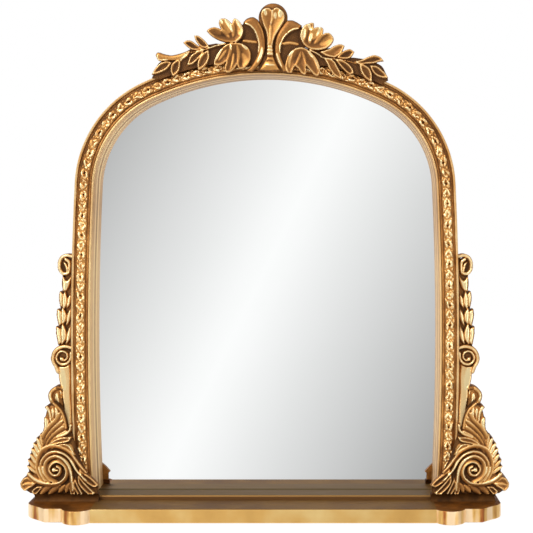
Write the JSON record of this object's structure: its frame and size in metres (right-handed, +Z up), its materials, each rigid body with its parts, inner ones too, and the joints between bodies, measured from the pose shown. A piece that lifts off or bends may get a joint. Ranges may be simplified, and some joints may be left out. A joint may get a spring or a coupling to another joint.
{
  "type": "table mirror",
  "caption": "Arched table mirror in a gilded carved frame with a leaf crest, scrolled acanthus feet and a shaped shelf base that it stands on by itself.",
  "frame": {"origin": "centre of the base's straight outline on its underside, where the felt rests", "axes": "+X to the right seen from the front, the glass faces -Y, +Z up"},
  "size_m": [0.445, 0.083, 0.4681],
  "materials": {
    "gilt_frame": "satin",
    "gilt_carving": "satin",
    "gilt_base": "satin",
    "champagne_slip": "satin",
    "mirror": "polished",
    "card": "matte",
    "backing": "matte",
    "felt": "matte",
    "steel": "satin",
    "brass": "satin",
    "dowel_wood": "matte"
  },
  "bodies": {
    "mirror": {"base_felt": "felt", "shelf_board": "gilt_base", "left_plinth": "gilt_base", "right_plinth": "gilt_base", "left_foot_block": "gilt_base", "right_foot_block": "gilt_base", "left_stile": "gilt_frame", "right_stile": "gilt_frame", "arch_head": "gilt_frame", "rosette_band": "gilt_carving", "slip": "champagne_slip", "bottom_rail": "gilt_base", "mirror_glass": "mirror", "backing_card": "card", "backing_board": "backing", "crest_backplate": "gilt_carving", "crest_cartouche": "gilt_carving", "crest_spray_left": "gilt_carving", "crest_spray_right": "gilt_carving", "left_husk_drop": "gilt_carving", "right_husk_drop": "gilt_carving", "left_scroll_bracket": "gilt_carving", "right_scroll_bracket": "gilt_carving", "left_acanthus_foot": "gilt_carving", "right_acanthus_foot": "gilt_carving", "stile_screws": "steel", "foot_screws": "steel", "board_dowels": "dowel_wood", "frame_dowels": "dowel_wood", "crest_screws": "steel", "button_screws": "brass"},
    "turn_button_1": {"turn_button_1": "brass"},
    "turn_button_2": {"turn_button_2": "brass"},
    "turn_button_3": {"turn_button_3": "brass"},
    "turn_button_4": {"turn_button_4": "brass"},
    "turn_button_5": {"turn_button_5": "brass"},
    "turn_button_6": {"turn_button_6": "brass"}
  },
  "joints": [
    {"name": "turn_button_1_turn", "type": "hinge", "parent": "mirror", "child": "turn_button_1", "pos_m": [-0.17266, 0.0246, 0.095], "axis": [0, 1, 0], "continuous": true},
    {"name": "turn_button_2_turn", "type": "hinge", "parent": "mirror", "child": "turn_button_2", "pos_m": [-0.1724, 0.0246, 0.245], "axis": [0, 1, 0], "continuous": true},
    {"name": "turn_button_3_turn", "type": "hinge", "parent": "mirror", "child": "turn_button_3", "pos_m": [-0.07616, 0.0246, 0.40592], "axis": [0, 1, 0], "continuous": true},
    {"name": "turn_button_4_turn", "type": "hinge", "parent": "mirror", "child": "turn_button_4", "pos_m": [0.17266, 0.0246, 0.095], "axis": [0, 1, 0], "continuous": true},
    {"name": "turn_button_5_turn", "type": "hinge", "parent": "mirror", "child": "turn_button_5", "pos_m": [0.1724, 0.0246, 0.245], "axis": [0, 1, 0], "continuous": true},
    {"name": "turn_button_6_turn", "type": "hinge", "parent": "mirror", "child": "turn_button_6", "pos_m": [0.07616, 0.0246, 0.40592], "axis": [0, 1, 0], "continuous": true}
  ]
}
